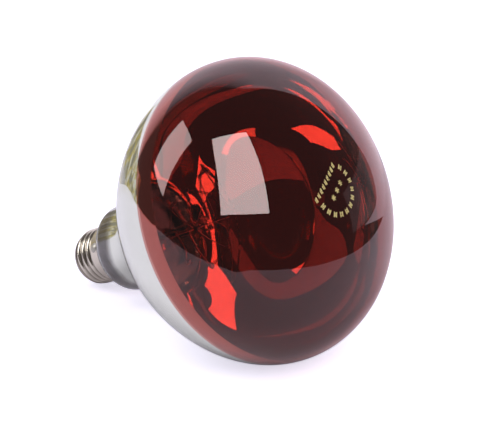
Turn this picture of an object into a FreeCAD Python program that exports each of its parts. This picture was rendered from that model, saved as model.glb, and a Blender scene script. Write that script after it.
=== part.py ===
# Infrared heat lamp bulb with a screw cap, in millimetres.
# Z is the bulb's axis. The cap points down and the flat tip of its centre contact is at z = 0.
# The glass crown is at the top. Each physical piece is one solid in a file of its own.
import FreeCAD, Part
import math
import os
from FreeCAD import Vector

# Screw cap: a rolled sheet metal shell
cap_height = 27.0            # contact tip to the shell's upper edge
shell_length = 20.6
shell_wall = 0.3
thread_radius = 13.15        # outside of the thread's crests, and of the plain collar
thread_pitch = 3.629
thread_round = 1.025         # radius of the rounded crests and roots
first_crest_rise = 1.7       # first crest above the shell's lower edge
collar_length = 5.29         # plain collar between the thread's end and the upper edge
curl_radius = 0.9            # the lower edge is curled in round the insulator
lip_flare = 0.25             # the upper edge is flared out a little
lip_height = 0.8
solder_hole_drop = 3.0       # hole for the side lead, below the upper edge
solder_hole_radius = 0.6
solder_angle = -90.0         # where the side solder sits round the cap, degrees

# Blown glass bulb
glass_wall = 1.0
throat_radius = 10.8         # seal end of the neck, inside the cap
seal_depth = 10.5            # how deep the throat reaches into the cap
throat_rise = 1.2            # where the throat starts to widen, above the cap
throat_round = 3.0
neck_end_rise = 7.4          # the neck's lower corner above the cap
neck_end_radius = 19.7
neck_end_round = 4.0
neck_length = 25.2
waist_radius = 20.8          # where the neck meets the reflector back
waist_round = 25.3
waist_run = 0.5              # short straight stretch between the waist's round and the back
back_length = 65.9           # waist to the widest ring
back_slope = 42.6            # the back's lean from the axis at the waist, degrees
back_pull_low = 24.0         # how far the back keeps that lean
back_pull_high = 20.7        # how far it hangs straight down from the widest ring
globe_radius = 62.5
shoulder_radius = 30.35      # arc from the widest ring to the crown
crown_rise = 10.35           # the crown's top above the shoulder arc's own top

# Glass stem
flare_rim = 1.1
flare_round = 2.5
stem_length = 50.5           # bulb seal to the top of the pinch
stem_radius = 6.4
stem_wall = 0.9
pinch_length = 9.0
pinch_blend = 6.0            # height over which the tube is squeezed flat
pinch_width = 14.4
pinch_thickness = 4.6
exhaust_radius = 1.9
exhaust_wall = 0.6
exhaust_tip_drop = 2.0       # the sealed-off tip below the bulb's seal
exhaust_reach = 4.6          # how far the tube is fused into the squeezed part
exhaust_hole_radius = 0.8
rod_length = 12.2
rod_radius = 1.5
button_radius = 3.2
button_height = 3.4
button_round = 1.2

# Coiled filament and the wires that hold it
ring_radius = 17.0
coil_radius = 0.6            # outside of the wound coil
coil_bend = 3.0
tail_length = 2.2            # coil past each lead's hook
spoke_count = 8              # two leads, and the rest are supports
support_radius = 0.22
support_root = 1.2           # how far from the axis a support starts, inside the button
support_knee = 9.0
support_bend = 5.0
support_rise = 3.2           # button's middle to the filament
eye_gap = 0.1
lead_radius = 0.42
lead_spacing = 8.0
lead_rise = 5.0              # where the leads lean out, above the pinch
lead_splay_radius = 9.5
lead_splay_drop = 5.5        # below the filament
lead_bend = 2.5
hook_gap = 0.06
weld_depth = 6.0             # where inner and outer leads meet, below the pinch's top
outer_lead_radius = 0.25
outer_lead_bend = 1.0
eye_end_gap = 2.2            # from an eye's end to the wire that it left, in wire radii

# Insulator, contact, solder and cement
insulator_rise = 3.2         # its top above the shell's lower edge
insulator_gap = 0.15         # between the insulator and the shell
insulator_step = 0.8         # how far it shows below the shell before it tapers
insulator_foot = 6.6
insulator_bore = 1.5
insulator_round = 0.8        # round of its foot
insulator_step_round = 1.5
insulator_seat_round = 0.2   # where it fills the curled edge
insulator_top_round = 0.6
contact_height = 0.8         # underside of the contact plate above the tip
contact_radius = 5.2
contact_thick = 0.5
contact_tube = 2.8
contact_hole = 0.7
contact_round = 0.2          # pressed edge of the plate
solder_flat = 1.5
solder_radius = 3.4
lead_end_height = 0.4
side_solder_radius = 2.1
side_solder_height = 1.0
cement_length = 4.0
cement_setback = 0.6         # below the shell's upper edge

# Heights and radii that follow from the sizes above
shell_bottom = cap_height - shell_length
insulator_top = shell_bottom + insulator_rise
thread_depth = 2 * (thread_round - math.sqrt(thread_round**2 - (thread_pitch / 4) ** 2))
thread_root = thread_radius - thread_depth
thread_middle = thread_radius - thread_depth / 2
first_crest = shell_bottom + first_crest_rise
thread_end = cap_height - collar_length
seal = cap_height - seal_depth
neck_end = cap_height + neck_end_rise
waist = neck_end + neck_length
equator = waist + back_length
crown_height = shoulder_radius + crown_rise
top = equator + crown_height
stem_bore = stem_radius - stem_wall
pinch_top = seal + stem_length
pinch_bottom = pinch_top - pinch_length
squeeze = pinch_bottom - pinch_blend
weld = pinch_top - weld_depth
button_middle = pinch_top + rod_length + button_height / 2
filament = button_middle + support_rise
spoke_step = 360.0 / spoke_count
lead_turn = (insulator_top + seal) / 2
centre_turn = (insulator_top + lead_turn) / 2
lead_channel = (throat_radius + thread_root - shell_wall) / 2
solder_hole = cap_height - solder_hole_drop

UP = Vector(0, 0, 1)
ORIGIN = Vector(0, 0, 0)


def save(name, shape):
    """Write one piece to its own file and say what it is."""
    shape.exportStep(os.path.join("parts", name + ".step"))
    print(f"{name}: {len(shape.Solids)} solid, {shape.Volume:.1f} mm3, valid {shape.isValid()}")


def at(radius, height, angle=0.0):
    """The point at this radius, height and angle round the axis."""
    turn = math.radians(angle)
    return Vector(radius * math.cos(turn), radius * math.sin(turn), height)


def line(start, end):
    return Part.LineSegment(start, end).toShape()


def rounded_path(points, radii):
    """Straight runs through the points, with a tangent arc of its own radius at each corner.

    A radius of 0 leaves the corner sharp.
    """
    edges = []
    start = points[0]
    for before, corner, after, radius in zip(points, points[1:], points[2:], radii):
        if radius == 0:
            edges.append(line(start, corner))
            start = corner
            continue
        back = (before - corner).normalize()
        ahead = (after - corner).normalize()
        half = back.getAngle(ahead) / 2
        first = corner + back * (radius / math.tan(half))
        last = corner + ahead * (radius / math.tan(half))
        middle = corner + (back + ahead).normalize() * (radius / math.sin(half) - radius)
        edges.append(line(start, first))
        edges.append(Part.Arc(first, middle, last).toShape())
        start = last
    edges.append(line(start, points[-1]))
    return edges


def turned(edges):
    """The solid that a closed outline makes when it turns round the axis."""
    return Part.Face(Part.Wire(Part.sortEdges(edges)[0])).revolve(ORIGIN, UP, 360)


def turned_corners(corners):
    """A turned solid from a list of corners, each (radius, height)."""
    points = [at(radius, height) for radius, height in corners]
    return turned(Part.makePolygon(points + points[:1]).Edges)


def round_wire(edges, radius):
    """A round wire along a path of edges, its ends cut square."""
    path = Part.Wire(edges)
    first = edges[0]
    start = first.valueAt(first.FirstParameter)
    heading = first.tangentAt(first.FirstParameter)
    section = Part.makeCircle(radius, start, heading)
    return path.makePipeShell([Part.Wire([section])], True, False)


def bulb_outline(inset):
    """Half outline of the bulb from the throat's lower edge to the top, moved in by the inset."""
    neck_lean = math.atan2(waist_radius - neck_end_radius, neck_length)
    slope = math.radians(back_slope)
    throat_in = throat_radius - inset
    under_lean = math.atan2(neck_end_radius - throat_radius, neck_end_rise - throat_rise)
    throat_corner = at(throat_in, cap_height + throat_rise + inset * math.tan(under_lean / 2))
    corner_half = (under_lean + neck_lean) / 2
    corner_turn = (under_lean - neck_lean) / 2
    corner_in = inset / math.cos(corner_turn)
    neck_corner = at(
        neck_end_radius - corner_in * math.cos(corner_half), neck_end + corner_in * math.sin(corner_half)
    )
    waist_in = inset / math.cos((slope - neck_lean) / 2)
    waist_tilt = (slope + neck_lean) / 2
    waist_corner = at(
        waist_radius - waist_in * math.cos(waist_tilt), waist + waist_in * math.sin(waist_tilt)
    )
    along = Vector(math.sin(slope), 0, math.cos(slope))
    waist_tangent = (waist_round + inset) * math.tan((slope - neck_lean) / 2)
    back_start = waist_corner + along * (waist_tangent + waist_run)
    neck_runs = rounded_path(
        [at(throat_in, seal), throat_corner, neck_corner, waist_corner, back_start],
        [throat_round + inset, neck_end_round - inset, waist_round + inset],
    )
    globe = globe_radius - inset
    widest = at(globe, equator)
    back = Part.BezierCurve()
    back.setPoles([
        back_start,
        back_start + along * back_pull_low,
        widest - UP * back_pull_high,
        widest,
    ])
    shoulder = shoulder_radius - inset
    crown = crown_height - inset
    crown_radius = (globe**2 - 2 * globe * shoulder + crown**2) / (2 * (crown - shoulder))
    crown_centre = equator + crown - crown_radius
    join = math.atan2(globe - shoulder, equator - crown_centre)

    def on_shoulder(lean):
        return at(globe - shoulder + shoulder * math.sin(lean), equator + shoulder * math.cos(lean))

    def on_crown(lean):
        return at(crown_radius * math.sin(lean), crown_centre + crown_radius * math.cos(lean))

    return neck_runs + [
        back.toShape(),
        Part.Arc(widest, on_shoulder((join + math.pi / 2) / 2), on_shoulder(join)).toShape(),
        Part.Arc(on_crown(join), on_crown(join / 2), at(0, equator + crown)).toShape(),
    ]


def glass_bulb():
    """The bulb, blown in one piece. Its inside is the same outline, one wall further in."""
    foot = line(at(throat_radius, seal), at(throat_radius - glass_wall, seal))
    crown = line(at(0, top), at(0, top - glass_wall))
    return turned(bulb_outline(0.0) + [crown] + bulb_outline(glass_wall) + [foot])


def squeezed_section(width, thickness, height, round_side):
    """A closed section at this height: two round ends across Y, joined by two long sides."""
    side = width / 2 - round_side
    half = thickness / 2
    bulge = 0.0 if width > thickness else half - half * math.sqrt(0.5)
    low = half - bulge
    edges = []
    for sign in (1, -1):
        near = Vector(sign * low, sign * side, height)
        tip = Vector(0, sign * width / 2, height)
        far = Vector(-sign * low, sign * side, height)
        next_near = Vector(-sign * low, -sign * side, height)
        outward = Vector(-sign * half, 0, height)
        edges.append(Part.Arc(near, tip, far))
        if bulge:
            edges.append(Part.Arc(far, outward, next_near))
        else:
            edges.append(Part.LineSegment(far, next_near))
    return Part.Wire([edge.toShape() for edge in edges])


def stem(leads, exhaust, passage):
    """The flared stem tube. Its hot top was pinched flat over the leads and the exhaust tube."""
    rim_low = seal - flare_rim
    outer = rounded_path(
        [at(throat_radius, seal), at(stem_radius, seal), at(stem_radius, squeeze)],
        [flare_round],
    )
    inner = rounded_path(
        [at(throat_radius, rim_low), at(stem_bore, rim_low), at(stem_bore, squeeze)],
        [flare_round + flare_rim],
    )
    rim = line(at(throat_radius, seal), at(throat_radius, rim_low))
    tube_end = line(at(stem_radius, squeeze), at(stem_bore, squeeze))
    tube = turned(outer + inner + [rim, tube_end])
    corner = stem_radius * (1 - math.sqrt(0.5))
    round_end = squeezed_section(2 * stem_radius, 2 * stem_radius, squeeze, corner)
    flat_end = squeezed_section(pinch_width, pinch_thickness, pinch_bottom, pinch_thickness / 2)
    blend = Part.makeLoft([round_end, flat_end], True, True)
    hollow = Part.makeCone(stem_bore, exhaust_radius, pinch_blend / 2, at(0, squeeze))
    pinch = Part.Face(flat_end).extrude(UP * pinch_length)
    glass = tube.fuse([blend.cut(hollow), pinch])
    return glass.cut(leads + [exhaust, passage]).removeSplitter()


def exhaust_tube():
    """The tube through which the bulb was pumped out, melted shut to a round tip below."""
    tip = seal - exhaust_tip_drop
    end = squeeze + exhaust_reach
    bore = exhaust_radius - exhaust_wall
    floor = tip + exhaust_radius
    lean = exhaust_radius * math.sqrt(0.5)
    outside = line(at(exhaust_radius, end), at(exhaust_radius, floor))
    round_tip = Part.Arc(at(exhaust_radius, floor), at(lean, floor - lean), at(0, tip)).toShape()
    inside = Part.makePolygon(
        [at(0, tip), at(0, floor), at(bore, floor + bore), at(bore, end), at(exhaust_radius, end)]
    )
    return turned([outside, round_tip] + inside.Edges)


def support_rod(supports):
    """Solid glass rod on the pinch. Its melted button holds the roots of the supports."""
    low = button_middle - button_height / 2
    high = button_middle + button_height / 2
    outline = rounded_path(
        [
            at(0, pinch_top),
            at(rod_radius, pinch_top),
            at(rod_radius, low),
            at(button_radius, low),
            at(button_radius, high),
            at(0, high),
        ],
        [0, button_round / 2, button_round, button_round],
    )
    return turned(outline + [line(at(0, high), at(0, pinch_top))]).cut(supports)


def eye_path(start_points, bends, middle, radius, wire, angle):
    """A wire's path that ends in an eye round the coil. It leaves its last straight run at a tangent."""
    last = start_points[-1]
    flat = Vector(math.cos(math.radians(angle)), math.sin(math.radians(angle)), 0)
    across = (middle - last).dot(flat)
    rise = (middle - last).z
    distance = math.hypot(across, rise)
    heading = math.atan2(rise, across) - math.asin(radius / distance)
    ahead = flat * math.cos(heading) + UP * math.sin(heading)
    inward = UP * math.cos(heading) - flat * math.sin(heading)
    touch = last + ahead * math.sqrt(distance**2 - radius**2)
    wrap = 2 * math.pi - math.acos(1 - eye_end_gap * wire / radius)

    def on_eye(turn):
        return touch + inward * (radius - radius * math.cos(turn)) + ahead * (radius * math.sin(turn))

    eye = Part.Arc(on_eye(0), on_eye(wrap / 2), on_eye(wrap)).toShape()
    return rounded_path(start_points + [touch], bends) + [eye]


def spoke_angles():
    """The leads come first and last, on each side of the ring's gap. The supports lie between."""
    return [spoke_step * (number + 0.5) for number in range(spoke_count)]


def support_wire(angle):
    """Molybdenum wire from the button out and up to the coil, which its eye carries."""
    start = [at(support_root, button_middle, angle), at(support_knee, button_middle, angle)]
    radius = coil_radius + eye_gap + support_radius
    middle = at(ring_radius, filament, angle)
    return round_wire(eye_path(start, [support_bend], middle, radius, support_radius, angle), support_radius)


def inner_lead(side, angle):
    """Nickel wire from the pinch up to the filament. Its end is hooked over the coil's tail."""
    foot = Vector(0, side * lead_spacing / 2, weld)
    knee = Vector(0, side * lead_spacing / 2, pinch_top + lead_rise)
    splay = at(lead_splay_radius, filament - lead_splay_drop, angle)
    radius = coil_radius + hook_gap + lead_radius
    middle = at(ring_radius, filament, angle)
    path = eye_path([foot, knee, splay], [lead_bend, lead_bend], middle, radius, lead_radius, angle)
    return round_wire(path, lead_radius)


def filament_coil():
    """The wound coil, drawn as the tube that its turns fill. It runs from lead to lead."""
    half = math.radians(spoke_step / 2)
    corner_radius = ring_radius + coil_bend * (1 / math.cos(half) - 1)
    corners = [at(corner_radius, filament, angle) for angle in spoke_angles()]
    gap = (corners[0] - corners[-1]).normalize() * tail_length
    points = [corners[0] - gap] + corners + [corners[-1] + gap]
    return round_wire(rounded_path(points, [coil_bend] * spoke_count), coil_radius)


def centre_lead():
    """Copper wire from the pinch down to the centre contact, through the insulator's bore."""
    side = lead_spacing / 2
    points = [
        Vector(0, side, weld),
        Vector(0, side, lead_turn),
        Vector(0, 0, centre_turn),
        Vector(0, 0, lead_end_height),
    ]
    return round_wire(rounded_path(points, [outer_lead_bend] * 2), outer_lead_radius)


def side_lead():
    """Runs under the flare, up beside the neck's seal and out through the hole in the collar."""
    side = -lead_spacing / 2
    points = [
        Vector(0, side, weld),
        Vector(0, side, lead_turn),
        at(lead_channel, lead_turn, solder_angle),
        at(lead_channel, solder_hole, solder_angle),
        at(thread_radius + side_solder_height / 2, solder_hole, solder_angle),
    ]
    bends = [outer_lead_bend, outer_lead_bend, outer_lead_bend / 2]
    return round_wire(rounded_path(points, bends), outer_lead_radius)


def smooth(value):
    """Goes from 0 to 1 with level ends as the value goes from 0 to 1."""
    value = min(max(value, 0.0), 1.0)
    return value * value * (3 - 2 * value)


def thread_wave(along, inset):
    """The rolled wave of tangent arcs at this distance from a crest, about its own middle line."""
    along = abs((along + thread_pitch / 2) % thread_pitch - thread_pitch / 2)
    centre = thread_round - thread_depth / 2
    crest = thread_round - inset
    if along < thread_pitch / 4 * crest / thread_round:
        return math.sqrt(crest**2 - along**2) - centre + inset
    root = thread_round + inset
    return centre + inset - math.sqrt(root**2 - (thread_pitch / 2 - along) ** 2)


def shell_point(height, turn, inset):
    """A point of the shell's wall between its curled and its flared edge."""
    start = shell_bottom + curl_radius
    rise = smooth((height - start) / (first_crest - start + thread_pitch / 4))
    fade = smooth((height - thread_end + thread_pitch / 2) * 2 / thread_pitch)
    lip = max(0.0, (height - cap_height + lip_height) / lip_height)
    base = thread_root + rise * (thread_middle - thread_root) + fade * (thread_radius - thread_middle)
    wave = thread_wave(height - first_crest - thread_pitch * turn, inset)
    radius = base - inset + rise * (1 - fade) * wave + lip_flare * lip**2
    return at(radius, height, 360 * turn)


def rolled_wall(inset):
    """One side of the shell's wall as a single smooth surface, from the curled edge to the lip."""
    columns = 32
    curl_rows = 5
    rows_per_turn = 12
    start = shell_bottom + curl_radius
    wall_rows = round((cap_height - start) / thread_pitch * rows_per_turn)
    # The surface passes inside its poles by this factor, so they stand off by as much.
    stand_off = 3 / (2 + math.cos(2 * math.pi / columns))
    rows = []
    for number in range(curl_rows):
        lean = math.radians(90 * number / curl_rows)
        reach = curl_radius - inset
        radius = thread_root - curl_radius + reach * math.sin(lean)
        height = start - reach * math.cos(lean)
        rows.append([at(radius, height, 360 * step / columns) for step in range(columns)])
    for number in range(wall_rows + 1):
        height = start + (cap_height - start) * number / wall_rows
        rows.append([shell_point(height, step / columns, inset) for step in range(columns)])
    poles = [[Vector(p.x * stand_off, p.y * stand_off, p.z) for p in row] for row in rows]
    spans = len(rows) - 3
    surface = Part.BSplineSurface()
    surface.buildFromPolesMultsKnots(
        poles,
        [4] + [1] * (spans - 1) + [4],
        [1] * (columns + 1),
        list(range(spans + 1)),
        list(range(columns + 1)),
        False,
        True,
        3,
        3,
    )
    return surface


def cap_shell():
    """Nickel-plated shell. The thread is rolled into the sheet, so the inside follows it."""
    outside = rolled_wall(0.0)
    inside = rolled_wall(shell_wall)
    rims = []
    for end in (0, 1):
        edges = [side.uIso(side.bounds()[end]).toShape() for side in (outside, inside)]
        rims.append(Part.makeRuledSurface(*edges))
    shell = Part.makeShell([outside.toShape(), inside.toShape()] + rims)
    shell.sewShape()
    solid = Part.makeSolid(shell)
    if solid.Volume < 0:
        solid.reverse()
    start = at(thread_radius - 1.5 * shell_wall, solder_hole, solder_angle)
    hole = Part.makeCylinder(solder_hole_radius, 2 * shell_wall, start, at(1, 0, solder_angle))
    return solid.cut(hole)


def cap_insulator():
    """Black glass, poured into the shell's lower end. The contact sits on its foot."""
    inside = thread_root - shell_wall - insulator_gap
    throat = thread_root - curl_radius - insulator_gap
    plate_top = contact_height + contact_thick
    above = shell_bottom + curl_radius
    outline = rounded_path(
        [
            at(insulator_bore, plate_top),
            at(insulator_foot, plate_top),
            at(throat, shell_bottom - insulator_step),
            at(throat, shell_bottom + shell_wall),
            at(inside, above),
            at(inside, insulator_top),
            at(insulator_bore, insulator_top),
        ],
        [
            insulator_round,
            insulator_step_round,
            insulator_seat_round,
            insulator_seat_round,
            insulator_top_round,
        ],
    )
    bore = line(at(insulator_bore, insulator_top), at(insulator_bore, plate_top))
    return turned(outline + [bore])


def centre_contact():
    """Pressed brass eyelet: a plate with a rounded edge and a short tube up the insulator's bore."""
    plate_top = contact_height + contact_thick
    tube_top = plate_top + contact_tube
    outline = rounded_path(
        [
            at(contact_hole, contact_height),
            at(contact_radius, contact_height),
            at(contact_radius, plate_top),
            at(insulator_bore, plate_top),
            at(insulator_bore, tube_top),
            at(contact_hole, tube_top),
        ],
        [contact_round, contact_round, 0, contact_round / 2],
    )
    bore = line(at(contact_hole, tube_top), at(contact_hole, contact_height))
    return turned(outline + [bore])


def centre_solder(lead):
    """Solder mound on the contact. It fills the hole round the lead, and its tip is worn flat."""
    plug = contact_height + contact_thick
    swell = contact_height / 4
    bulge = at((solder_flat + solder_radius) / 2 + swell, swell)
    outline = [Part.Arc(at(solder_flat, 0), bulge, at(solder_radius, contact_height)).toShape()]
    outline += Part.makePolygon(
        [
            at(solder_radius, contact_height),
            at(contact_hole, contact_height),
            at(contact_hole, plug),
            at(0, plug),
            at(0, 0),
            at(solder_flat, 0),
        ]
    ).Edges
    return turned(outline).cut(lead)


def side_solder(lead):
    """Round mound on the collar, over the end of the side lead and into its hole."""
    cap_radius = (side_solder_radius**2 + side_solder_height**2) / (2 * side_solder_height)
    outward = at(1, 0, solder_angle)
    middle = at(thread_radius + side_solder_height - cap_radius, solder_hole, solder_angle)
    ball = Part.makeSphere(cap_radius, middle)
    collar = Part.makeCylinder(thread_radius, 2 * cap_height, ORIGIN, UP)
    mound = ball.cut(collar)
    start = at(thread_radius - shell_wall, solder_hole, solder_angle)
    plug = Part.makeCylinder(solder_hole_radius, 2 * shell_wall, start, outward)
    return mound.fuse(plug).cut(lead).removeSplitter()


def cap_cement(lead):
    """Ring of basing cement between the neck's seal and the plain collar."""
    high = cap_height - cement_setback
    collar = thread_radius - shell_wall
    low = high - cement_length
    ring = turned_corners([(throat_radius, low), (collar, low), (collar, high), (throat_radius, high)])
    return ring.cut(lead)


def build():
    os.makedirs("parts", exist_ok=True)
    angles = spoke_angles()
    leads = [inner_lead(1, angles[0]), inner_lead(-1, angles[-1])]
    supports = [support_wire(angle) for angle in angles[1:-1]]
    lead_in = centre_lead()
    lead_out = side_lead()
    exhaust = exhaust_tube()
    hole_start = at(0, squeeze + exhaust_reach / 2)
    passage = Part.makeCylinder(exhaust_hole_radius, stem_radius, hole_start, at(1, 0))
    full_exhaust = Part.makeCylinder(exhaust_radius, exhaust_reach, at(0, squeeze))
    save("glass_bulb", glass_bulb())
    save("stem_flare", stem(leads + [lead_in, lead_out], full_exhaust, passage))
    save("exhaust_tube", exhaust.cut(passage))
    save("support_rod", support_rod(supports))
    for side, lead in zip(("left", "right"), leads):
        save("inner_lead_" + side, lead)
    for number, wire in enumerate(supports, 1):
        save(f"support_wire_{number}", wire)
    save("filament_coil", filament_coil())
    save("centre_lead", lead_in)
    save("side_lead", lead_out)
    save("cap_shell", cap_shell())
    save("cap_insulator", cap_insulator())
    save("centre_contact", centre_contact())
    save("centre_solder", centre_solder(lead_in))
    save("side_solder", side_solder(lead_out))
    save("cap_cement", cap_cement(lead_out))


build()
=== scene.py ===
# %% [markdown]
# # Infrared heat lamp bulb
# A reflector bulb is one blown glass bubble with a screw cap. Its front is ruby glass, and the rest
# is clear glass with an aluminium mirror inside. Through the red front one sees the wire cage, the
# coiled filament, and the lamps of the studio again and again in the mirror. So this scene is mostly
# about clean curves, true glass and a studio worth reflecting.
#
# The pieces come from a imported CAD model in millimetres. Blender works in metres, in the same frame:
# the bulb's axis is Z, its contact tip is at the origin and its crown is at the top.

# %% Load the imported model
import bpy
import math
from mathutils import Matrix, Vector


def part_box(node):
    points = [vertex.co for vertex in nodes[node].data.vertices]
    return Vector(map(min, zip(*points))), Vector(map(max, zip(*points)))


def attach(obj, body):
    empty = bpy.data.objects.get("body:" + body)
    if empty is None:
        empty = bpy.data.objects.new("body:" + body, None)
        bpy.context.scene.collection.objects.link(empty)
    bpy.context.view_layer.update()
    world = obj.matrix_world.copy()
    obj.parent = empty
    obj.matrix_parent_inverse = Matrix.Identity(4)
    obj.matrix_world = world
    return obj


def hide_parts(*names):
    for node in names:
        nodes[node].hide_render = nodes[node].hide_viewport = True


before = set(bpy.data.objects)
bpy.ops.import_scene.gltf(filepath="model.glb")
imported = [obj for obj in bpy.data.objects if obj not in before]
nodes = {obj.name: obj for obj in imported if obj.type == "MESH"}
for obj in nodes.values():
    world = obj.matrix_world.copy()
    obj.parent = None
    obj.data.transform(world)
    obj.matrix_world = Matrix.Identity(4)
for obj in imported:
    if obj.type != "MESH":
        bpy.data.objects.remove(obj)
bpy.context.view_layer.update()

# %% [markdown]
# ## Sizes from the model
# What the model can tell is measured and not typed: the globe's radius, the crown's height, the
# seal's end and the cap's edge. The other sizes shape the glass between them. They are the driving
# sizes of the same bulb, because a mesh can't say where one arc ends and the next begins.

# %% Sizes
MM = 0.001
GLOBE_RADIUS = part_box("glass_bulb")[1].x
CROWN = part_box("glass_bulb")[1].z
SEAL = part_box("glass_bulb")[0].z
CAP_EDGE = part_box("cap_shell")[1].z
WALL = 1.0 * MM
THROAT_RADIUS = 10.8 * MM
THROAT_RISE = 1.2 * MM
THROAT_ROUND = 3.0 * MM
NECK_END = CAP_EDGE + 7.4 * MM
NECK_END_RADIUS = 19.7 * MM
NECK_END_ROUND = 4.0 * MM
WAIST = NECK_END + 25.2 * MM
WAIST_RADIUS = 20.8 * MM
WAIST_ROUND = 25.3 * MM
WAIST_RUN = 0.5 * MM
BACK_SLOPE = math.radians(42.6)
BACK_PULL_LOW = 24.0 * MM
BACK_PULL_HIGH = 20.7 * MM
SHOULDER_RADIUS = 30.35 * MM
EQUATOR = WAIST + 65.9 * MM
CROWN_HEIGHT = CROWN - EQUATOR
print("widest ring at", round(EQUATOR / MM, 2), "mm")
print("crown", round(CROWN_HEIGHT / MM, 2), "mm above it")

# %% [markdown]
# ## Small helpers for colour and nodes
# A hex colour is written the way a screen shows it. Shaders count in linear light, so every colour
# goes through one function. One more function adds a shader node with its settings and its links.
# Patterns are laid out in millimetres on the object, so that each pattern's scale is a real size.


# %% Colour and nodes
def colour(code):
    """A colour such as #B0574E, as a shader wants it: linear, with alpha."""
    shares = [int(code[i : i + 2], 16) / 255 for i in (1, 3, 5)]
    return [s / 12.92 if s <= 0.04045 else ((s + 0.055) / 1.055) ** 2.4 for s in shares] + [1.0]


def add(tree, kind, inputs=None, **settings):
    """Adds a node. An input's value is a number, a colour, or a socket that is linked to it."""
    node = tree.nodes.new(kind)
    for name, value in settings.items():
        setattr(node, name, value)
    for name, value in (inputs or {}).items():
        if isinstance(value, bpy.types.NodeSocket):
            tree.links.new(value, node.inputs[name])
        else:
            node.inputs[name].default_value = value
    return node


def new_material(name):
    """An empty material: its node tree and its output node."""
    material = bpy.data.materials.new(name)
    material.use_nodes = True
    material.node_tree.nodes.clear()
    output = add(material.node_tree, "ShaderNodeOutputMaterial")
    return material, material.node_tree, output


def in_millimetres(tree):
    """The place on the object in millimetres."""
    place = add(tree, "ShaderNodeTexCoord").outputs["Object"]
    scaled = add(tree, "ShaderNodeVectorMath", {0: place, "Scale": 1 / MM}, operation="SCALE")
    return scaled.outputs[0]


print("ruby as the shader sees it:", [round(share, 3) for share in colour("#B0574E")])

# %% [markdown]
# ## Outlines
# Blown glass has no corners, only arcs that run into each other. An outline here is a list of
# (radius, height) points. Four small functions give points on an arc, on a rounded corner, on a
# straight run and on the long curve of the reflector's back.


# %% Points along curves
def arc(centre, radius, start, end, steps):
    """Points on an arc. Its angles are leans from the axis, so 0 points straight up."""
    leans = [start + (end - start) * i / steps for i in range(steps + 1)]
    return [(centre[0] + radius * math.sin(a), centre[1] + radius * math.cos(a)) for a in leans]


def rounded(before, corner, after, radius, steps=8):
    """Points on the tangent arc that rounds a corner."""
    a = (Vector(before) - Vector(corner)).normalized()
    b = (Vector(after) - Vector(corner)).normalized()
    half = a.angle(b) / 2
    centre = Vector(corner) + (a + b).normalized() * (radius / math.sin(half))
    first = (Vector(corner) + a * (radius / math.tan(half)) - centre).normalized()
    last = (Vector(corner) + b * (radius / math.tan(half)) - centre).normalized()
    return [tuple(centre + first.slerp(last, i / steps) * radius) for i in range(steps + 1)]


def straight(start, end, steps):
    """Points between two others, without the two."""
    return [tuple(Vector(start).lerp(Vector(end), i / steps)) for i in range(1, steps)]


def bezier(p0, p1, p2, p3, steps):
    """Points on a cubic curve."""
    points = []
    for i in range(steps + 1):
        t = i / steps
        s = 1 - t
        points.append(tuple(
            s**3 * a + 3 * s * s * t * b + 3 * s * t * t * c + t**3 * d
            for a, b, c, d in zip(p0, p1, p2, p3)
        ))
    return points


print("a rounded corner of", len(rounded((0, 0), (1, 0), (1, 1), 0.2)), "points")

# %% [markdown]
# ## The bulb's outline
# From the seal in the cap the outline runs up a short throat, out to the neck's end, along the neck
# and round the waist, up the reflector's back, and over the shoulder and the crown. The inside of
# the glass is the same outline, one wall in: each arc gets a smaller or larger radius, and each
# corner moves in along the line that halves it.


# %% The glass outline
def crown_arc(globe, shoulder, crown):
    """The radius of the arc over the crown that meets the shoulder's arc without a corner."""
    return (globe**2 - 2 * globe * shoulder + crown**2) / (2 * (crown - shoulder))


def glass_outline(inset):
    """Half outline of the glass from the seal to the crown, moved in by the inset."""
    neck_lean = math.atan2(WAIST_RADIUS - NECK_END_RADIUS, WAIST - NECK_END)
    under_lean = math.atan2(NECK_END_RADIUS - THROAT_RADIUS, NECK_END - CAP_EDGE - THROAT_RISE)
    throat = (THROAT_RADIUS - inset, CAP_EDGE + THROAT_RISE + inset * math.tan(under_lean / 2))
    corner_half = (under_lean + neck_lean) / 2
    corner_in = inset / math.cos((under_lean - neck_lean) / 2)
    neck = (
        NECK_END_RADIUS - corner_in * math.cos(corner_half),
        NECK_END + corner_in * math.sin(corner_half),
    )
    tilt = (BACK_SLOPE + neck_lean) / 2
    waist_in = inset / math.cos((BACK_SLOPE - neck_lean) / 2)
    waist = (WAIST_RADIUS - waist_in * math.cos(tilt), WAIST + waist_in * math.sin(tilt))
    along = Vector((math.sin(BACK_SLOPE), math.cos(BACK_SLOPE)))
    waist_tangent = (WAIST_ROUND + inset) * math.tan((BACK_SLOPE - neck_lean) / 2)
    back_start = tuple(Vector(waist) + along * (waist_tangent + WAIST_RUN))
    foot = (THROAT_RADIUS - inset, SEAL)
    points = [foot] + straight(foot, throat, 4)
    points += rounded(foot, throat, neck, THROAT_ROUND + inset)
    points += rounded(throat, neck, waist, NECK_END_ROUND - inset, 12)
    round_waist = rounded(neck, waist, back_start, WAIST_ROUND + inset, 20)
    points += straight(points[-1], round_waist[0], 8) + round_waist
    globe = GLOBE_RADIUS - inset
    pulled = tuple(Vector(back_start) + along * BACK_PULL_LOW)
    points += bezier(back_start, pulled, (globe, EQUATOR - BACK_PULL_HIGH), (globe, EQUATOR), 56)
    shoulder = SHOULDER_RADIUS - inset
    crown = CROWN_HEIGHT - inset
    crown_radius = crown_arc(globe, shoulder, crown)
    join = math.atan2(globe - shoulder, crown_radius - crown)
    points += arc((globe - shoulder, EQUATOR), shoulder, math.pi / 2, join, 32)[1:]
    points += arc((0, EQUATOR + crown - crown_radius), crown_radius, join, 0, 28)[1:]
    return points


outline = glass_outline(0)
print(len(outline), "points from the seal to the crown")

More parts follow.
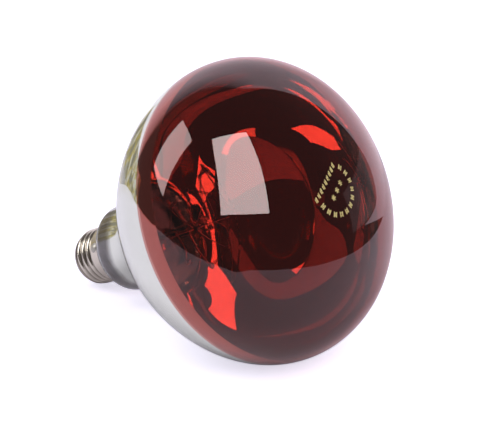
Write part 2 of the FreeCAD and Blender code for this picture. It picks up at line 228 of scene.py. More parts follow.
# %% [markdown]
# ## Camera
# The photo looks down on the bulb, which lies with its crown towards the lens. The camera stands
# half a metre away with a short telephoto lens. Its up direction isn't the bulb's axis, because the
# bulb lies on its side: the axis runs off to the left and away.

# %% Camera
CAMERA_PLACE = Vector((116.8, -333.0, 492.5)) * MM
CAMERA_AIM = Vector((1.45, -4.03, 121.5)) * MM
CAMERA_UP = Vector((-0.9736, -0.1309, 0.1867))
LENS = 90.94
SENSOR = 36.0

camera_data = bpy.data.cameras.new("camera")
camera_data.lens = LENS
camera_data.sensor_width = SENSOR
camera = bpy.data.objects.new("camera", camera_data)
bpy.context.scene.collection.objects.link(camera)
bpy.context.scene.camera = camera


def facing(look, up):
    """The turn that points an object's -Z along look, with its Y as near to up as it can be."""
    back = -look.normalized()
    side = up.cross(back).normalized()
    return Matrix((side, back.cross(side), back)).transposed()


camera_turn = facing(CAMERA_AIM - CAMERA_PLACE, CAMERA_UP)
camera.matrix_world = Matrix.Translation(CAMERA_PLACE) @ camera_turn.to_4x4()
print("camera", round((CAMERA_AIM - CAMERA_PLACE).length, 3), "m from the bulb")

# %% [markdown]
# ## How the bulb lies
# A pear-shaped bulb on a table touches it with its globe and with the foot of its cap. The table in
# this scene is tilted to meet the bulb, because the model keeps its own upright frame. The tilt is
# found by halving: lean the table until the globe and the cap press on it equally.

# %% The table's directions
LYING_SIDE = math.radians(19.8)
CAP_FOOT = (13.15 * MM, CAP_EDGE - 21 * MM)
LEAST_TILT, MOST_TILT = math.radians(10), math.radians(40)
HALVINGS = 30


def table_up(tilt):
    """The table's normal, when the bulb's axis rises from the table by the tilt."""
    flat = math.cos(tilt)
    return Vector((-flat * math.cos(LYING_SIDE), -flat * math.sin(LYING_SIDE), math.sin(tilt)))


def reach_down(tilt, points):
    """How far a turned outline reaches down towards a table with this tilt."""
    return max(radius * math.cos(tilt) - height * math.sin(tilt) for radius, height in points)


low, high = LEAST_TILT, MOST_TILT
for _ in range(HALVINGS):
    middle = (low + high) / 2
    cap_presses = reach_down(middle, [CAP_FOOT]) > reach_down(middle, outline)
    low, high = (low, middle) if cap_presses else (middle, high)
TILT = low
UP = table_up(TILT)
TABLE_DEPTH = reach_down(TILT, outline)
camera_side = camera.matrix_world.to_3x3().col[0]
RIGHT = (camera_side - UP * camera_side.dot(UP)).normalized()
AWAY = UP.cross(RIGHT)
GLOBE_CENTRE = Vector((0, 0, EQUATOR))
print("the axis rises", round(math.degrees(TILT), 1), "degrees from the table")


def on_table(right, away, up):
    """A place in the studio in millimetres: right of, behind and above the globe's centre."""
    return GLOBE_CENTRE + (RIGHT * right + AWAY * away + UP * up) * MM


# %% [markdown]
# ## Studio
# Glass and mirrors show what is round them, so the studio is part of the look: a white table, a
# white paper sweep behind it, a low board on each side, two softboxes and a dark room.
#
# The table and the paper are matt white card that the softboxes light. They also glow, so that the
# camera sees pure white and the glass sees white paper behind the bulb, and they keep the bulb's
# soft shadow. They can be seen through from behind, so that a view from any side is clear. Far up
# and to the left they fade out, because the glass shows their light growing weaker there.


# %% White card
FADE_LEAN = 0.9


def studio_white(name, for_camera, for_mirrors, fade):
    """White card that takes a shadow. It glows for the camera and, less, for reflections.

    It turns clear between the two numbers of fade, which count millimetres up and to the left.
    """
    tint = "#E0DDE9"
    material, tree, output = new_material(name)
    path = add(tree, "ShaderNodeLightPath")
    mirrored = add(tree, "ShaderNodeMath", {
        0: path.outputs["Is Glossy Ray"], 1: path.outputs["Is Transmission Ray"],
    }, operation="MAXIMUM")
    strength = add(tree, "ShaderNodeMath", {
        0: mirrored.outputs[0], 1: for_mirrors,
    }, operation="MULTIPLY")
    strength = add(tree, "ShaderNodeMath", {
        0: path.outputs["Is Camera Ray"], 1: for_camera, 2: strength.outputs[0],
    }, operation="MULTIPLY_ADD")
    glow = add(tree, "ShaderNodeEmission", {
        "Color": colour(tint), "Strength": strength.outputs[0]})
    matt = add(tree, "ShaderNodeBsdfDiffuse", {"Color": colour(tint)})
    paper = add(tree, "ShaderNodeAddShader", {0: glow.outputs[0], 1: matt.outputs[0]})
    clear = add(tree, "ShaderNodeBsdfTransparent")
    behind = add(tree, "ShaderNodeNewGeometry").outputs["Backfacing"]
    slant = UP - RIGHT * FADE_LEAN
    height = add(tree, "ShaderNodeVectorMath", {
        0: in_millimetres(tree), 1: slant}, operation="DOT_PRODUCT")
    level = slant.dot(GLOBE_CENTRE) / MM
    faded = add(tree, "ShaderNodeMapRange", {
        "Value": height.outputs["Value"], "From Min": level + fade[0], "From Max": level + fade[1]})
    gone = add(tree, "ShaderNodeMath", {0: behind, 1: faded.outputs[0]}, operation="MAXIMUM")
    front_only = add(tree, "ShaderNodeMixShader", {
        0: gone.outputs[0], 1: paper.outputs[0], 2: clear.outputs[0]})
    tree.links.new(front_only.outputs[0], output.inputs["Surface"])
    return material


def card(name, corners, material):
    """A flat or bent card from two rows of corners."""
    mesh = bpy.data.meshes.new(name)
    count = len(corners) // 2
    faces = [(i, i + 1, count + i + 1, count + i) for i in range(count - 1)]
    mesh.from_pydata([tuple(c) for c in corners], [], faces)
    mesh.materials.append(material)
    mesh.polygons.foreach_set("use_smooth", [True] * len(faces))
    obj = bpy.data.objects.new(name, mesh)
    bpy.context.scene.collection.objects.link(obj)
    return obj


print("for the fading of the cards, a step to the left counts", FADE_LEAN, "of a step up")

# %% Table and paper sweep
TABLE_UP = -(TABLE_DEPTH / MM + EQUATOR / MM * math.sin(TILT))
TABLE_LEFT, TABLE_RIGHT = -1000, 300
TABLE_FRONT, TABLE_BACK = -530, 500
SWEEP_LEFT, SWEEP_RIGHT = -1120, 750
SWEEP_UNDER, SWEEP_BELOW = 250, 1
SWEEP_BEND, BEND_STEPS = 200, 12
SWEEP_HEIGHT = 2300

table = card("table", [
    on_table(x, y, TABLE_UP) for x in (TABLE_RIGHT, TABLE_LEFT) for y in (TABLE_FRONT, TABLE_BACK)
], studio_white("matt_white_table", for_camera=0.85, for_mirrors=0.02, fade=(2000, 2100)))

bend_angles = [math.radians(90 * i / BEND_STEPS) for i in range(BEND_STEPS + 1)]
profile = [(TABLE_BACK - SWEEP_UNDER, TABLE_UP - SWEEP_BELOW)]
profile += [
    (TABLE_BACK + SWEEP_BEND * math.sin(a), TABLE_UP + SWEEP_BEND * (1 - math.cos(a)))
    for a in bend_angles
]
profile.append((TABLE_BACK + SWEEP_BEND, TABLE_UP + SWEEP_HEIGHT))
sweep = card("paper_sweep", [
    on_table(x, y, z) for x in (SWEEP_RIGHT, SWEEP_LEFT) for y, z in profile
], studio_white("matt_white_paper", for_camera=1.0, for_mirrors=0.28, fade=(900, 1900)))
print(table.name, "lies", round(-TABLE_UP, 1), "mm under the globe's centre,")
print(sweep.name, "bends up behind it in", BEND_STEPS, "steps")

# %% [markdown]
# ## The room at the sides
# The silvered back mirrors what stands low beside the table. A low board on each side, painted in a
# few dull patches, is enough for that. The camera doesn't see the boards themselves.

# %% Low boards
PATCH_STOPS = (0.42, 0.5, 0.58)


def room_flat(name, tops, tints, patch):
    """A low board along these top points, painted in patches of this many millimetres."""
    material, tree, output = new_material(name + "_paint")
    place = in_millimetres(tree)
    clutter = add(tree, "ShaderNodeTexNoise", {"Vector": place, "Scale": 1 / patch, "Detail": 1.0})
    ramp = add(tree, "ShaderNodeValToRGB", {"Fac": clutter.outputs[0]})
    ramp.color_ramp.elements.new(0.5)
    for stop, share, tint in zip(ramp.color_ramp.elements, PATCH_STOPS, tints):
        stop.position, stop.color = share, colour(tint)
    seen = add(tree, "ShaderNodeLightPath").outputs["Is Camera Ray"]
    glow = add(tree, "ShaderNodeEmission", {"Color": ramp.outputs[0], "Strength": 1.0})
    clear = add(tree, "ShaderNodeBsdfTransparent")
    board = add(tree, "ShaderNodeMixShader", {0: seen, 1: glow.outputs[0], 2: clear.outputs[0]})
    tree.links.new(board.outputs[0], output.inputs["Surface"])
    feet = [on_table(x, y, TABLE_UP) for x, y, _ in tops]
    return card(name, feet + [on_table(*top) for top in tops], material)


left_flat = room_flat(
    "room_flat_left", patch=70, tints=("#8E8A80", "#B9A964", "#CFCBC6"),
    tops=[(-900, 230, 150), (-900, 480, 160), (-480, 480, 120), (-225, 480, 75)],
)
right_flat = room_flat(
    "room_flat_right", patch=300, tints=("#8D898D", "#9E9A9E", "#AEAAAE"),
    tops=[(900, 120, 200), (765, 700, 200)],
)
print("boards:", left_flat.name, right_flat.name)

# %% [markdown]
# ## Softboxes and room light
# A softbox is an area light: a rectangle that glows evenly. Its place and size decide where its
# bright patch lies on the crown, and where its images lie in the mirror inside. Each box is given by
# its centre, the directions of its two sides, and its size in millimetres. The world is white for
# the camera. For reflections it is the dark room, and it adds a little even light.


# %% Softboxes
def softbox(name, centre, side, upright, width, height, glow):
    """A glowing rectangle whose front faces the bulb. glow is its brightness, where white is 1."""
    data = bpy.data.lights.new(name, "AREA")
    data.shape = "RECTANGLE"
    data.size = width * MM
    data.size_y = height * MM
    data.energy = glow * math.pi * data.size * data.size_y
    light = bpy.data.objects.new(name, data)
    place = on_table(*centre)
    x = (RIGHT * side[0] + AWAY * side[1] + UP * side[2]).normalized()
    y = RIGHT * upright[0] + AWAY * upright[1] + UP * upright[2]
    y = (y - x * y.dot(x)).normalized()
    if x.cross(y).dot(place - GLOBE_CENTRE) < 0:
        x = -x
    turned = Matrix((x, y, x.cross(y))).transposed()
    light.matrix_world = Matrix.Translation(place) @ turned.to_4x4()
    light.visible_camera = False
    bpy.context.scene.collection.objects.link(light)
    return light


right_box = softbox(
    "softbox_right", centre=(1258, -1678, 2452),
    side=(0.805, 0.567, -0.172), upright=(-0.054, 0.360, 0.931),
    width=1339, height=2845, glow=7.5,
)
left_box = softbox(
    "softbox_left", centre=(-1758, -417, 1833),
    side=(0.587, -0.688, -0.426), upright=(0.691, 0.153, 0.706),
    width=1521, height=1977, glow=4.8,
)
print("softboxes of", round(right_box.data.energy), "W and", round(left_box.data.energy), "W")

# %% World
ROOM_LIGHT = 0.12


def room():
    """The world: white for the camera, a dark room in reflections, and a little even light."""
    world = bpy.data.worlds.new("studio_room")
    bpy.context.scene.world = world
    world.use_nodes = True
    tree = world.node_tree
    tree.nodes.clear()
    path = add(tree, "ShaderNodeLightPath")
    lit = add(tree, "ShaderNodeBackground", {"Color": colour("#FFFFFF"), "Strength": 1.0})
    dark = add(tree, "ShaderNodeBackground", {"Color": colour("#646060"), "Strength": 1.0})
    soft = add(tree, "ShaderNodeBackground", {"Color": colour("#FFFFFF"), "Strength": ROOM_LIGHT})
    inner = add(tree, "ShaderNodeMixShader", {
        0: path.outputs["Is Diffuse Ray"], 1: dark.outputs[0], 2: soft.outputs[0]})
    outer = add(tree, "ShaderNodeMixShader", {
        0: path.outputs["Is Camera Ray"], 1: inner.outputs[0], 2: lit.outputs[0]})
    output = add(tree, "ShaderNodeOutputWorld")
    tree.links.new(outer.outputs[0], output.inputs["Surface"])
    return world


world = room()
bpy.context.scene.view_settings.view_transform = "Standard"
print("world:", world.name)

# %% [markdown]
# ## Glass
# Ruby glass is coloured all through: light that goes in and comes out of the wall is left with its
# red. Blown glass is very smooth with a faint waviness, a few hundredths of a millimetre over a
# centimetre or two. Blender's glass blocks the lamps' light, so for shadow rays it is a clear tint.

# %% Glass materials
RIPPLE_SPACING = 18


def glass(name, tint, shadow_tint, ripple):
    """Blown glass. tint is the colour of one wall, and ripple the height of its waves in mm."""
    material, tree, output = new_material(name)
    place = in_millimetres(tree)
    waves = add(tree, "ShaderNodeTexNoise", {
        "Vector": place, "Scale": 1 / RIPPLE_SPACING, "Detail": 2.0})
    bump = add(tree, "ShaderNodeBump", {
        "Height": waves.outputs[0], "Distance": ripple * MM, "Strength": 1.0})
    body = add(tree, "ShaderNodeBsdfPrincipled", {
        "Base Color": colour(tint), "Roughness": 0.0, "IOR": 1.52, "Transmission Weight": 1.0,
        "Normal": bump.outputs[0]})
    passing = add(tree, "ShaderNodeBsdfTransparent", {"Color": colour(shadow_tint)})
    shadow = add(tree, "ShaderNodeLightPath").outputs["Is Shadow Ray"]
    both = add(tree, "ShaderNodeMixShader", {0: shadow, 1: body.outputs[0], 2: passing.outputs[0]})
    tree.links.new(both.outputs[0], output.inputs["Surface"])
    return material


ruby_glass = glass("blown_ruby_glass", "#B0574E", "#C78F88", 0.02)
clear_glass = glass("blown_clear_glass", "#F4F6F4", "#FAFBFA", 0.02)
stem_glass = glass("drawn_stem_glass", "#EEF2EE", "#F6F8F6", 0.02)
print("glass:", ruby_glass.name, clear_glass.name, stem_glass.name)

# %% [markdown]
# ## The mirror
# The mirror is aluminium vapour that settled on the inside of the glass. On the back it is a dense,
# bright mirror with a few tiny dark specks. In the neck, far from the source of the vapour, the film
# is thin, grey and stained with brown, and a little rougher. Its edge there wavers over a few
# millimetres.

# %% Mirror film
THIN_BELOW, DENSE_ABOVE = NECK_END / MM + 10, NECK_END / MM + 15
WAVER_SIZE, WAVER_HEIGHT = 9, 6.0
STAIN_SIZE = 3.5
SPECK_SPACING = 7


def mirror_film():
    """Aluminium film inside the glass: bright on the back, and thin, grey and stained in the neck."""
    material, tree, output = new_material("evaporated_aluminium_film")
    place = in_millimetres(tree)
    height = add(tree, "ShaderNodeSeparateXYZ", {0: place}).outputs["Z"]
    waver = add(tree, "ShaderNodeTexNoise", {
        "Vector": place, "Scale": 1 / WAVER_SIZE, "Detail": 3.0})
    line = add(tree, "ShaderNodeMath", {
        0: waver.outputs[0], 1: WAVER_HEIGHT, 2: height}, operation="MULTIPLY_ADD")
    coat = add(tree, "ShaderNodeMapRange", {
        "Value": line.outputs[0], "From Min": THIN_BELOW, "From Max": DENSE_ABOVE})
    stain = add(tree, "ShaderNodeTexNoise", {
        "Vector": place, "Scale": 1 / STAIN_SIZE, "Detail": 5.0})
    browned = add(tree, "ShaderNodeMapRange", {
        "Value": stain.outputs[0], "From Min": 0.52, "From Max": 0.66})
    thin = add(tree, "ShaderNodeMix", {
        0: browned.outputs[0], 6: colour("#837C7D"), 7: colour("#7A6A52")}, data_type="RGBA")
    tint = add(tree, "ShaderNodeMix", {
        0: coat.outputs[0], 6: thin.outputs[2], 7: colour("#EFEFE8")}, data_type="RGBA")
    cells = add(tree, "ShaderNodeTexVoronoi", {"Vector": place, "Scale": 1 / SPECK_SPACING})
    speck = add(tree, "ShaderNodeMapRange", {
        "Value": cells.outputs["Distance"], "From Min": 0.03, "From Max": 0.06, "To Min": 0.55})
    tint = add(tree, "ShaderNodeMix", {
        0: 1.0, 6: tint.outputs[2], 7: speck.outputs[0]}, data_type="RGBA", blend_type="MULTIPLY")
    rough = add(tree, "ShaderNodeMapRange", {"Value": coat.outputs[0], "To Min": 0.16, "To Max": 0.0})
    dense = add(tree, "ShaderNodeMapRange", {"Value": coat.outputs[0], "To Min": 0.55, "To Max": 1.0})
    body = add(tree, "ShaderNodeBsdfPrincipled", {
        "Base Color": tint.outputs[2], "Metallic": dense.outputs[0], "Roughness": rough.outputs[0],
        "IOR": 1.52, "Transmission Weight": 1.0})
    tree.links.new(body.outputs[0], output.inputs["Surface"])
    return material


film = mirror_film()
print("the film is dense above", round(DENSE_ABOVE, 1), "mm")

# %% [markdown]
# ## Metals
# The supports are drawn molybdenum wire and the inner leads drawn nickel: satin, with a fine grain.
# The filament is tungsten that carbon and heat have left dark. The outer leads are plated with
# copper, the contact is pressed brass, and the solder is a dull grey that set uneven. The cap is
# rolled sheet metal with a warm nickel plating, bright on the crests of its thread. Its grooves get
# a darker tint, which is painted shade. The grain is drawn some tenths of a millimetre wide,
# coarser than the real one, so that it shows at all.

# %% Metals
CLOUD_SIZE = 6
THREAD_ROOT = 12.08
# Painted shade: nearer the axis than these distances, in the thread's grooves, the cap takes the
# darker tint.
SHADED_BELOW, UNSHADED_ABOVE = THREAD_ROOT + 0.5, THREAD_ROOT + 1.35
SHADE_WANDER = 0.9


def metal(name, tint, roughness, spread=0.1, grain=0.6, relief=0.004, groove_shade=None):
    """Metal whose roughness wanders by spread. grain is the size in millimetres of its fine relief.

    The last argument is a darker tint, painted shade in the thread's grooves, told by the
    distance from the axis.
    """
    material, tree, output = new_material(name)
    place = in_millimetres(tree)
    clouds = add(tree, "ShaderNodeTexNoise", {
        "Vector": place, "Scale": 1 / CLOUD_SIZE, "Detail": 4.0})
    rough = add(tree, "ShaderNodeMapRange", {
        "Value": clouds.outputs[0],
        "To Min": roughness - spread / 2, "To Max": roughness + spread / 2})
    fine = add(tree, "ShaderNodeTexNoise", {"Vector": place, "Scale": 1 / grain, "Detail": 3.0})
    bump = add(tree, "ShaderNodeBump", {"Height": fine.outputs[0], "Distance": relief * MM})
    base = colour(tint)
    # Painted shade: the darker tint goes where the surface is nearest the axis, in the thread's
    # grooves.
    if groove_shade:
        flat = add(tree, "ShaderNodeVectorMath", {0: place, 1: (1, 1, 0)}, operation="MULTIPLY")
        radius = add(tree, "ShaderNodeVectorMath", {0: flat.outputs[0]}, operation="LENGTH")
        patchy = add(tree, "ShaderNodeMath", {
            0: clouds.outputs[0], 1: SHADE_WANDER, 2: radius.outputs["Value"],
        }, operation="MULTIPLY_ADD")
        unshaded = add(tree, "ShaderNodeMapRange", {
            "Value": patchy.outputs[0], "From Min": SHADED_BELOW, "From Max": UNSHADED_ABOVE})
        base = add(tree, "ShaderNodeMix", {
            0: unshaded.outputs[0], 6: colour(groove_shade), 7: colour(tint)}, data_type="RGBA").outputs[2]
    body = add(tree, "ShaderNodeBsdfPrincipled", {
        "Base Color": base, "Metallic": 1.0, "Roughness": rough.outputs[0],
        "Normal": bump.outputs[0]})
    tree.links.new(body.outputs[0], output.inputs["Surface"])
    return material


nickel_wire = metal("drawn_nickel_wire", "#A9A29A", 0.32)
molybdenum_wire = metal("drawn_molybdenum_wire", "#858280", 0.36)
tungsten = metal("wound_tungsten_wire", "#5E5A57", 0.42)
copper_wire = metal("copper_plated_wire", "#C08A66", 0.34)
# The cap's second tint is painted shade for its thread's grooves.
nickel_plate = metal(
    "nickel_plated_sheet", "#DAD1C4", 0.2, spread=0.08, grain=0.4, relief=0.002, groove_shade="#8F867B")
brass = metal("pressed_brass", "#C9A765", 0.3)
tin_solder = metal("tin_lead_solder", "#B9B4AC", 0.38, spread=0.2, grain=0.9, relief=0.02)
print("cap:", nickel_plate.name, "with soil below", SHADED_BELOW, "mm from the axis")

# %% [markdown]
# ## Black glass and cement
# The cap's lower end is filled with black glass, poured hot: smooth, nearly black and glossy. The
# neck is set in a ring of basing cement, which is matt, pale and grainy like mortar.

# %% Poured and set solids
MOTTLE_GRAINS = 4


def moulded(name, tint, roughness, grain, relief):
    """A solid that isn't metal: black glass, or cement. Its tint is mottled over a few grains."""
    material, tree, output = new_material(name)
    place = in_millimetres(tree)
    mottle = add(tree, "ShaderNodeTexNoise", {
        "Vector": place, "Scale": 1 / (MOTTLE_GRAINS * grain), "Detail": 4.0})
    shade = add(tree, "ShaderNodeMapRange", {
        "Value": mottle.outputs[0], "To Min": 0.7, "To Max": 1.2})
    body_tint = add(tree, "ShaderNodeVectorMath", {
        0: colour(tint)[:3], "Scale": shade.outputs[0]}, operation="SCALE")
    fine = add(tree, "ShaderNodeTexNoise", {"Vector": place, "Scale": 1 / grain, "Detail": 3.0})
    bump = add(tree, "ShaderNodeBump", {"Height": fine.outputs[0], "Distance": relief * MM})
    body = add(tree, "ShaderNodeBsdfPrincipled", {
        "Base Color": body_tint.outputs[0], "Roughness": roughness, "Normal": bump.outputs[0]})
    tree.links.new(body.outputs[0], output.inputs["Surface"])
    return material


black_glass = moulded("poured_black_glass", "#15131A", roughness=0.14, grain=1.5, relief=0.004)
cement = moulded("basing_cement", "#B9AE98", roughness=0.85, grain=0.5, relief=0.03)
print("solids:", black_glass.name, cement.name)

# %% [markdown]
# ## The glass bulb
# The bulb is turned from its outline, outside and inside, so it has a true wall that bends light as
# a wall does. The wall is a millimetre thick, but blowing leaves it some tenths thicker or thinner
# in rings. That hardly shows from outside, yet it bends the mirror inside and shifts all it shows.
#
# The turned bulb replaces the CAD bulb, because one solid there carries one finish. In front of the
# red edge the glass is ruby, and behind it clear. The aluminium film on its inside reaches a little
# way in front of the red edge, so a mirror with a red cast runs along that edge.

# %% The blown wall
WAVES_FROM, WAVES_TO = EQUATOR - 80 * MM, EQUATOR - 1 * MM
WALL_WAVES = (-0.29, -0.24, -0.26, -0.63, 0.04)


def wall_change(height):
    """How much thicker than usual the wall is at this height: waves that fade out at both ends.

    WALL_WAVES holds the waves' sizes in millimetres, the longest wave first.
    """
    share = (height - WAVES_FROM) / (WAVES_TO - WAVES_FROM)
    if not 0 < share < 1:
        return 0.0
    waves = sum(size * math.cos(number * math.pi * share) for number, size in enumerate(WALL_WAVES))
    return math.sin(math.pi * share) ** 2 * waves * MM


def blown(points):
    """The inside of the glass, moved to where blowing left the wall thicker or thinner."""
    moved = []
    for i, (radius, height) in enumerate(points):
        (r0, z0), (r1, z1) = points[max(i - 1, 0)], points[min(i + 1, len(points) - 1)]
        steep = math.hypot(1, (r1 - r0) / (z1 - z0)) if z1 > z0 else 1
        moved.append((radius - wall_change(height) * steep, height))
    return moved


walls = [WALL + wall_change(height) for _, height in outline]
print("wall from", round(min(walls) / MM, 2), "to", round(max(walls) / MM, 2), "mm")

# %% Turning
SMALLEST_RING = 1e-7
COLUMNS = 192


def with_ring_at(points, height):
    """The same outline with one more point at this height."""
    for i in range(len(points) - 1, 0, -1):
        (r0, z0), (r1, z1) = points[i - 1], points[i]
        if z0 < height < z1:
            share = (height - z0) / (z1 - z0)
            return points[:i] + [(r0 + (r1 - r0) * share, height)] + points[i:]
    return points


def turn(name, rings, columns, closed):
    """A mesh turned round the axis in this many columns. A ring with no radius is one point."""
    vertices, rows = [], []
    for radius, height in rings:
        if radius < SMALLEST_RING:
            rows.append([len(vertices)] * columns)
            vertices.append((0, 0, height))
            continue
        rows.append(list(range(len(vertices), len(vertices) + columns)))
        for step in range(columns):
            angle = 2 * math.pi * step / columns
            vertices.append((radius * math.cos(angle), radius * math.sin(angle), height))
    faces = []
    for below, above in list(zip(rows, rows[1:])) + ([(rows[-1], rows[0])] if closed else []):
        for i in range(columns):
            j = (i + 1) % columns
            corners = [below[i], below[j], above[j], above[i]]
            corners = [c for k, c in enumerate(corners) if c != corners[k - 1]]
            if len(corners) > 2:
                faces.append(corners)
    mesh = bpy.data.meshes.new(name)
    mesh.from_pydata(vertices, [], faces)
    mesh.polygons.foreach_set("use_smooth", [True] * len(faces))
    obj = bpy.data.objects.new(name, mesh)
    bpy.context.scene.collection.objects.link(obj)
    return obj


print("a column is", round(2 * math.pi * GLOBE_RADIUS / COLUMNS / MM, 1), "mm wide at the widest ring")

# %% Turn the bulb
RED_EDGE = EQUATOR - 1.6 * MM
FILM_EDGE = EQUATOR + 6.0 * MM
RUBY, CLEAR, FILM = 0, 1, 2

outside = with_ring_at(outline, RED_EDGE)
inside = with_ring_at(blown(glass_outline(WALL)), FILM_EDGE)
bulb = turn("blown_bulb", outside + inside[::-1], COLUMNS, True)
for finish in (ruby_glass, clear_glass, film):
    bulb.data.materials.append(finish)

# The outside's last ring is the crown's single point, and the inside's vertices follow it.
first_inside = (len(outside) - 1) * COLUMNS + 1
for face in bulb.data.polygons:
    lines_inside = all(vertex >= first_inside for vertex in face.vertices)
    if lines_inside and face.center.z < FILM_EDGE:
        face.material_index = FILM
    elif face.center.z < RED_EDGE:
        face.material_index = CLEAR
    else:
        face.material_index = RUBY
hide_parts("glass_bulb")
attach(bulb, "root")
print("bulb:", len(bulb.data.polygons), "faces")

# %% [markdown]
# ## The wound filament
# The filament is a thin tungsten wire that is wound into a long coil, and the coil hangs in a ring
# with a corner at each wire. The model draws the coil as the tube that it fills. Here the wire is
# wound along the same path, so that light shows between its turns.

# %% The coil's path
SPOKES = 8
RING_RADIUS = 17.0 * MM
COIL_BEND = 3.0 * MM
TAIL_LENGTH = 2.2 * MM


def ring_path():
    """The coil's middle line from lead to lead: straight runs with a round bend at each wire."""
    half = math.pi / SPOKES
    reach = RING_RADIUS + COIL_BEND * (1 / math.cos(half) - 1)
    angles = [2 * half * (number + 0.5) for number in range(SPOKES)]
    corners = [Vector((reach * math.cos(a), reach * math.sin(a))) for a in angles]
    tail = (corners[0] - corners[-1]).normalized() * TAIL_LENGTH
    stops = [corners[0] - tail] + corners + [corners[-1] + tail]
    points = [stops[0]]
    for before, corner, after in zip(stops, stops[1:], stops[2:]):
        points += [Vector(p) for p in rounded(before, corner, after, COIL_BEND)]
    return points + [stops[-1]]


coil_line = ring_path()
coil_length = sum((end - start).length for start, end in zip(coil_line, coil_line[1:]))
print("the coil is", round(coil_length / MM, 1), "mm long")

# %% Wind the filament
COIL_RADIUS = 0.6 * MM
FILAMENT_WIRE = 0.14 * MM
FILAMENT_PITCH = 0.42 * MM
POINTS_PER_TURN = 12


def wound_wire(name, path, height, radius, wire, pitch, steps):
    """A wire of this thickness wound round a flat path, as a mesh."""
    curve = bpy.data.curves.new(name, "CURVE")
    curve.dimensions = "3D"
    curve.bevel_depth = wire / 2
    curve.bevel_resolution = 1
    places = []
    gone = 0.0
    for start, end in zip(path, path[1:]):
        run = (end - start).length
        along = (end - start) / run
        across = Vector((along.y, -along.x))
        while gone < run:
            angle = 2 * math.pi * len(places) / steps
            centre = start + along * gone + across * (radius * math.cos(angle))
            places.append((centre.x, centre.y, height + radius * math.sin(angle)))
            gone += pitch / steps
        gone -= run
    spline = curve.splines.new("POLY")
    spline.points.add(len(places) - 1)
    for point, place in zip(spline.points, places):
        point.co = (*place, 1)
    drawn = bpy.data.objects.new(name, curve)
    mesh = bpy.data.meshes.new_from_object(drawn)
    bpy.data.objects.remove(drawn)
    obj = bpy.data.objects.new(name, mesh)
    bpy.context.scene.collection.objects.link(obj)
    return obj


coil_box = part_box("filament_coil")
filament = wound_wire(
    "wound_filament", coil_line, height=(coil_box[0].z + coil_box[1].z) / 2,
    radius=COIL_RADIUS - FILAMENT_WIRE / 2, wire=FILAMENT_WIRE, pitch=FILAMENT_PITCH,
    steps=POINTS_PER_TURN,
)
filament.data.materials.append(tungsten)
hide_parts("filament_coil")
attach(filament, "root")
print("filament:", len(filament.data.polygons), "faces")

# %% [markdown]
# ## The stamp
# Such a bulb carries a round stamp in fired yellow enamel on its crown: a half ring of marks, a
# straight row and three marks between. Here each mark is two or three plain strokes, side by side
# or crossed, that say nothing. The enamel is a few hundredths of a millimetre thick and breaks up
# where the stamp pressed lightly.

# %% Enamel
GAP_SIZE = 0.35
SHADE_SIZE = 2.5


def enamel():
    """Fired yellow enamel with small gaps, through which the glass shows."""
    material, tree, output = new_material("fired_yellow_enamel")
    place = in_millimetres(tree)
    specks = add(tree, "ShaderNodeTexNoise", {
        "Vector": place, "Scale": 1 / GAP_SIZE, "Detail": 2.0})
    gap = add(tree, "ShaderNodeMapRange", {
        "Value": specks.outputs[0], "From Min": 0.40, "From Max": 0.34})
    clouds = add(tree, "ShaderNodeTexNoise", {"Vector": place, "Scale": 1 / SHADE_SIZE})
    shade = add(tree, "ShaderNodeMix", {
        0: clouds.outputs[0], 6: colour("#C9B36C"), 7: colour("#EEDF9E")}, data_type="RGBA")
    body = add(tree, "ShaderNodeBsdfPrincipled", {
        "Base Color": shade.outputs[2], "Roughness": 0.45})
    clear = add(tree, "ShaderNodeBsdfTransparent")
    both = add(tree, "ShaderNodeMixShader", {
        0: gap.outputs[0], 1: body.outputs[0], 2: clear.outputs[0]})
    tree.links.new(both.outputs[0], output.inputs["Surface"])
    return material


def bar(centre, angle, length, width):
    """Four corners of a bar that points along the angle, in millimetres on the crown's plan."""
    along = Vector((math.cos(angle), math.sin(angle))) * (length / 2)
    across = Vector((-math.sin(angle), math.cos(angle))) * (width / 2)
    middle = Vector(centre)
    return [
        middle - along - across, middle + along - across,
        middle + along + across, middle - along + across,
    ]


fired_enamel = enamel()
print("enamel:", fired_enamel.name)

# %% Lay out the marks
RING_RADIUS_OF_STAMP = 9.8
RING_FROM, RING_TO = math.radians(160), math.radians(-40)
RING_MARKS = 11
RING_STROKES = ((-0.62, 2.1), (0.0, 1.5), (0.62, 2.1))
THIN_STROKE, BROAD_STROKE = 0.4, 0.46
ROW_START, ROW_END = Vector((-9.6, -0.3)), Vector((5.4, -9.4))
ROW_MARKS = 9
ROW_LEAN = math.radians(70)
ROW_LONG, ROW_SHORT = 2.1, 1.6
ROW_SECOND = Vector((0.6, -0.36))
BETWEEN_MIDDLE, BETWEEN_SPACING = Vector((0.3, 0.85)), 3.7
CROSSED_LEANS, CROSSED_LENGTH = (35, 90, 145), 2.3

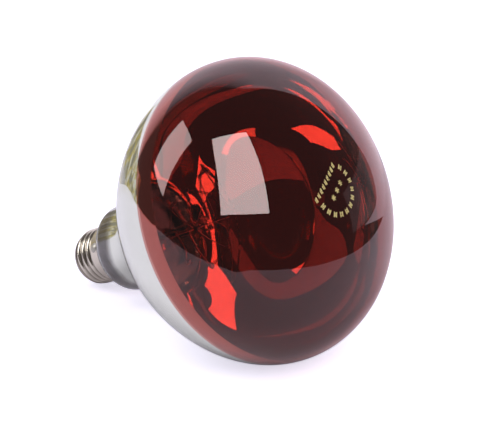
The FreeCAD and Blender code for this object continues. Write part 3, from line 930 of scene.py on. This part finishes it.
bars = []
for number in range(RING_MARKS):
    angle = RING_FROM + (RING_TO - RING_FROM) * number / (RING_MARKS - 1)
    for shift, length in RING_STROKES:
        swing = angle + shift / RING_RADIUS_OF_STAMP
        centre = (RING_RADIUS_OF_STAMP * math.cos(swing), RING_RADIUS_OF_STAMP * math.sin(swing))
        bars.append(bar(centre, angle, length, THIN_STROKE))
row_angle = math.atan2(*(ROW_END - ROW_START).yx)
for number in range(ROW_MARKS):
    centre = ROW_START.lerp(ROW_END, number / (ROW_MARKS - 1))
    bars.append(bar(centre, row_angle + ROW_LEAN, ROW_LONG, BROAD_STROKE))
    bars.append(bar(centre + ROW_SECOND, row_angle + ROW_LEAN, ROW_SHORT, THIN_STROKE))
for number in (-1, 0, 1):
    spread = (ROW_END - ROW_START).normalized() * (BETWEEN_SPACING * number)
    for lean in CROSSED_LEANS:
        stroke_angle = row_angle + math.radians(lean)
        bars.append(bar(BETWEEN_MIDDLE + spread, stroke_angle, CROSSED_LENGTH, THIN_STROKE))
print("stamp:", len(bars), "bars")

# %% Fire the stamp on the crown
ENAMEL_LIFT = 0.02 * MM

crown_radius = crown_arc(GLOBE_RADIUS, SHOULDER_RADIUS, CROWN_HEIGHT)
crown_centre = CROWN - crown_radius
lifted = crown_radius + ENAMEL_LIFT
corners = [corner * MM for shape in bars for corner in shape]
marks = bpy.data.meshes.new("crown_stamp")
marks.from_pydata(
    [(c.x, c.y, crown_centre + math.sqrt(lifted**2 - c.length_squared)) for c in corners],
    [],
    [tuple(range(4 * i, 4 * i + 4)) for i in range(len(bars))],
)
marks.materials.append(fired_enamel)
stamp = bpy.data.objects.new("crown_stamp", marks)
bpy.context.scene.collection.objects.link(stamp)
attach(stamp, "root")
print("stamp on a crown of", round(crown_radius / MM, 1), "mm radius")

# %% [markdown]
# ## Finishes for the CAD pieces
# The other pieces keep their CAD shapes, because those are already the real forms: wires, the glass
# stem, the rolled cap with its insulator, contact and solder. Each only gets its finish here.

# %% Finishes
FINISHES = {
    "stem_flare": stem_glass, "exhaust_tube": stem_glass, "support_rod": stem_glass,
    "inner_lead_left": nickel_wire, "inner_lead_right": nickel_wire,
    "centre_lead": copper_wire, "side_lead": copper_wire,
    "cap_shell": nickel_plate, "centre_contact": brass,
    "centre_solder": tin_solder, "side_solder": tin_solder,
    "cap_insulator": black_glass, "cap_cement": cement,
}
FINISHES.update({name: molybdenum_wire for name in nodes if name.startswith("support_wire")})
for name, finish in FINISHES.items():
    nodes[name].data.materials.clear()
    nodes[name].data.materials.append(finish)
print(len(FINISHES), "CAD pieces have a finish")
